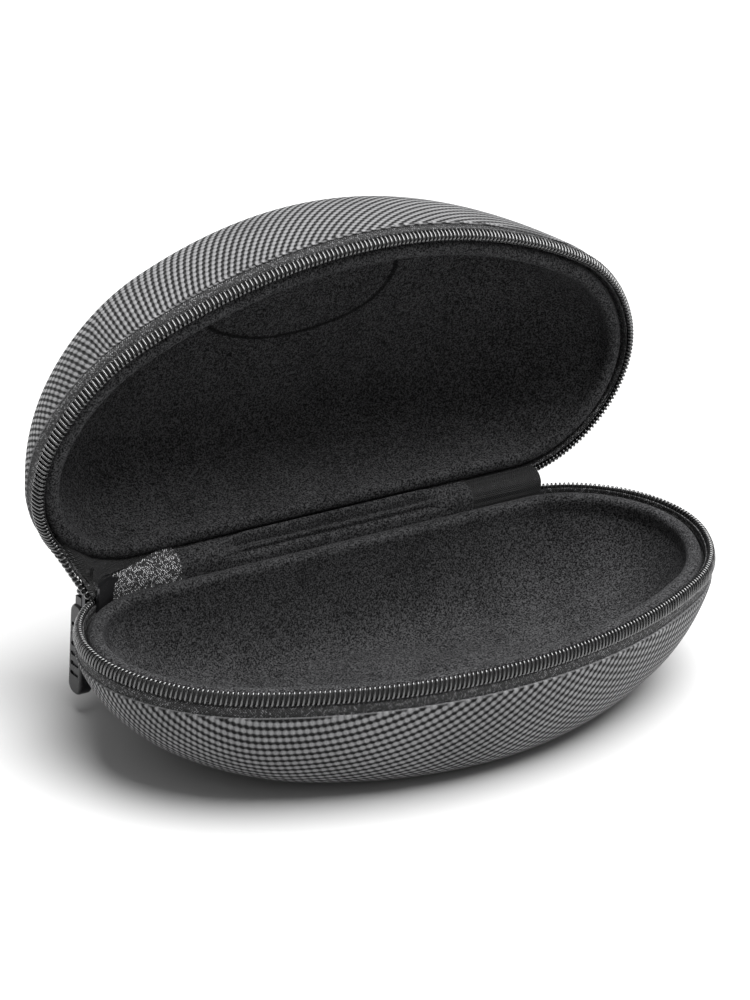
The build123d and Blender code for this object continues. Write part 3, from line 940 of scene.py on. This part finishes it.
strip_x = np.linspace(-46.0, 38.5, 116)
strip = band(
    "hinge_lining_cloth", [(x, 0, relief_share(x), 1.0) for x in strip_x], 3.3, 4.2, 0.7,
    LINING, "brushed_lining", relief_depth=1.75,
)
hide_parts("hinge_lining_strip")


def tail_stations(side, start_x, end_phi, narrow_to):
    """Along the hinge from the lining strip's end, then a little way round the corner."""
    straight = [(x, 0.0) for x in np.linspace(start_x, HINGE_HALF, 24)]
    for p in np.radians(np.linspace(0, end_phi, 18))[1:]:
        straight.append((HINGE_HALF + (CORNER_R - 3) * sin(p), (CORNER_R - 3) * (1 - cos(p))))
    stations = []
    for number, (x, shift) in enumerate(straight):
        share = number / (len(straight) - 1)
        stations.append((side * x, shift, 0.0, 1 + (narrow_to - 1) * share**0.8))
    return stations


# Each tail's side, where it starts and ends and how narrow it gets, then its distance from the
# hinge line and its tape: the left one lies over the lining strip, clears the bottom stop and
# is in the tape painted lit, the right one in the tape painted in shade
TAILS = {
    "left": ((-1, 43.0, 19, 0.5), 3.95, LIT_TAIL_TAPE),
    "right": ((1, 38.0, 12, 1.0), 3.1, SHADE_TAPE),
}
inside_cloths = [strip]
for label, (run, radius, material) in TAILS.items():
    tail = band(f"tail_{label}", tail_stations(*run), radius, 3.6, 0.5, material, "zip_tape")
    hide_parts(f"zip_tail_{label}")
    inside_cloths.append(tail)
bend_from, bend_to = hinge_point(3.0, 1.0, "base"), hinge_point(3.0, 1.0, "lid")
for piece in inside_cloths:
    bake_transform(piece)


BACK_THREADS = (0.765, 0.95)  # threads per mm along and across the outer strip


def back_strip():
    """The woven strip outside the hinge, with turned edges and a stitch line on each leg."""
    half_length, inset, leg, thickness, bend_r = 49.0, 0.35, 11.0, 0.6, 1.2
    fold = inset * (1 + open_cos) / open_sin
    corner = np.array([-inset, fold])
    base_way = np.array([0.0, 1.0])
    lid_way = np.array([open_sin, open_cos])
    cut = bend_r * tan(radians(OPEN_ANGLE / 2))
    first = [corner - base_way * d for d in np.linspace(leg + fold, cut, 22)]
    last = [corner + lid_way * d for d in np.linspace(cut, leg + fold, 22)]
    bend = []
    for u in np.linspace(0, 1, 9)[1:-1]:
        a, b = corner - base_way * cut, corner + lid_way * cut
        bend.append((1 - u) ** 2 * a + 2 * u * (1 - u) * corner + u * u * b)
    mid = np.array(first + bend + last)
    way = np.gradient(mid, axis=0)
    way /= np.linalg.norm(way, axis=1)[:, None]
    outward = np.stack([-way[:, 1], way[:, 0]], -1)
    run = run_along(mid)
    from_edge = np.minimum(run, run[-1] - run)
    thick = thickness * (0.78 + 0.22 * np.exp(-((from_edge / 1.6) ** 4)))
    thick -= 0.18 * np.exp(-(((from_edge - 2.1) / 0.35) ** 2))
    thick *= np.clip(0.35 + from_edge / 0.5, 0, 1)
    rows, cloth = [], []
    for x in np.linspace(-half_length, half_length, 130):
        to_end = half_length - abs(x)
        round_end = np.clip(0.35 + to_end / 0.6, 0, 1)
        top = mid + outward * (thick / 2 * round_end)[:, None]
        under = mid - outward * (thick / 2 * round_end)[:, None]
        loop = np.concatenate([top, under[::-1]])
        rows.append(
            np.stack([np.full(len(loop), x), HINGE_Y + loop[:, 0], RIM_Z + loop[:, 1]], -1) * MM
        )
        around = np.concatenate([run, run[::-1]])
        threads = np.full(len(loop), x) * BACK_THREADS[0], around * BACK_THREADS[1]
        # The strip's weave depth stays 0, shallower than the hem, so the cover's painted hem
        # highlight lies over the whole strip
        cloth.append(np.stack([*threads, 0 * around], -1))
    made = surface(
        "hinge_back_cloth", np.array(rows), COVER, "woven_cover", wrap=(False, True),
        cloth=np.array(cloth),
    )
    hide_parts("hinge_outer_strip")
    return made


back_cloth = back_strip()
hinge_point(0.35, 1.5, "base")
hinge_point(0.35, 1.5, "lid")
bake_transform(back_cloth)


# ---------------------------------------------------------------- metal and grip
EDGE_BEVEL = 0.12

for node, material in (
    ("slider_body", METAL), ("slider_crown", METAL), ("pull_loop", METAL),
    ("base_top_stop", METAL), ("lid_top_stop", METAL), ("zip_bottom_stop", METAL),
    ("pull_grip", GRIP),
):
    shown = frame["nodes"][node]
    shown.data.materials.clear()
    shown.data.materials.append(material)
    soften = shown.modifiers.new("soft_edges", "BEVEL")
    soften.width = EDGE_BEVEL * MM
    soften.segments = 2
    soften.limit_method = "ANGLE"
    soften.angle_limit = radians(35)
    soften.harden_normals = False


def declare_moulded(name):
    """A cloth moulded over a dome: measures how wide and long it is over the pole, which its flat
    blank would be, and keeps neither number.
    """
    grid = GRIDS[name]
    across, forward = grid[:, 0, 0], grid[:, 0, 1]
    width, length = (
        float(sum(run_along(grid[end])[-1] for end in (reach.argmin(), reach.argmax())))
        for reach in (across, forward)
    )


for half in ("base", "lid"):
    declare_moulded(f"{half}_cover_cloth")
    declare_moulded(f"{half}_lining_cloth")


# ---------------------------------------------------------------- floor, light, camera
FLOOR_GREY = 0.6
STUDIO_STRENGTH = 0.28
SUN_FROM = (0.22, -0.1, 1.0)
SUN_STRENGTH = 6.6
SUN_SPREAD = 60


def studio():
    """A plain pale floor under a soft white studio."""
    mesh = bpy.data.meshes.new("floor")
    half = 3.0
    corners = [(-half, -half, 0), (half, -half, 0), (half, half, 0), (-half, half, 0)]
    mesh.from_pydata(corners, [], [(0, 1, 2, 3)])
    floor = bpy.data.objects.new("floor", mesh)
    bpy.context.scene.collection.objects.link(floor)
    s = Shader("pale_floor", Roughness=0.9, Specular_IOR_Level=0.1)
    floor.data.materials.append(s.finish((FLOOR_GREY, FLOOR_GREY, FLOOR_GREY, 1)))
    world = bpy.data.worlds.new("studio")
    bpy.context.scene.world = world
    world.use_nodes = True
    world.node_tree.nodes["Background"].inputs["Color"].default_value = (1, 1, 1, 1)
    world.node_tree.nodes["Background"].inputs["Strength"].default_value = STUDIO_STRENGTH


def overhead(name, from_way, strength, spread):
    """One wide soft light from above, the same all over the floor."""
    data = bpy.data.lights.new(name, "SUN")
    data.angle = radians(spread)
    data.energy = strength
    lamp = bpy.data.objects.new(name, data)
    bpy.context.scene.collection.objects.link(lamp)
    lamp.location = (0, 0, 1)
    lamp.rotation_mode = "QUATERNION"
    lamp.rotation_quaternion = (-Vector(from_way)).to_track_quat("-Z", "Y")


studio()
overhead("overhead", SUN_FROM, SUN_STRENGTH, SUN_SPREAD)

CAMERA_AZIMUTH = -37.28
CAMERA_ELEVATION = 25.68
CAMERA_ROLL = 4.06
CAMERA_DISTANCE = 923.86
CAMERA_LENS = 148.53
AIM_FORWARD = 38.85
AIM_RIGHT = -0.01263
AIM_UP = 0.02277


def camera():
    """The camera at the photograph's angle, aimed a little up and left of the case's middle."""
    az, el, roll = (radians(a) for a in (CAMERA_AZIMUTH, CAMERA_ELEVATION, CAMERA_ROLL))
    back = Vector((sin(az) * cos(el), -cos(az) * cos(el), sin(el)))
    level = Vector((cos(az), sin(az), 0))
    upright = back.cross(level)
    right = level * cos(roll) + upright * sin(roll)
    up = upright * cos(roll) - level * sin(roll)
    middle = Vector((0, HINGE_Y - AIM_FORWARD, RIM_Z))
    stand = middle + back * CAMERA_DISTANCE
    aim = middle + (right * AIM_RIGHT + up * AIM_UP) * CAMERA_DISTANCE
    look = (stand - aim).normalized()
    across = up.cross(look).normalized()
    turned = Matrix((across, look.cross(across), look)).transposed()
    data = bpy.data.cameras.new("camera")
    data.lens = CAMERA_LENS
    data.sensor_width = 36
    made = bpy.data.objects.new("camera", data)
    bpy.context.scene.collection.objects.link(made)
    made.matrix_world = Matrix.Translation(stand * MM) @ turned.to_4x4()
    bpy.context.scene.camera = made


camera()
scene = bpy.context.scene
scene.view_settings.view_transform = "Standard"
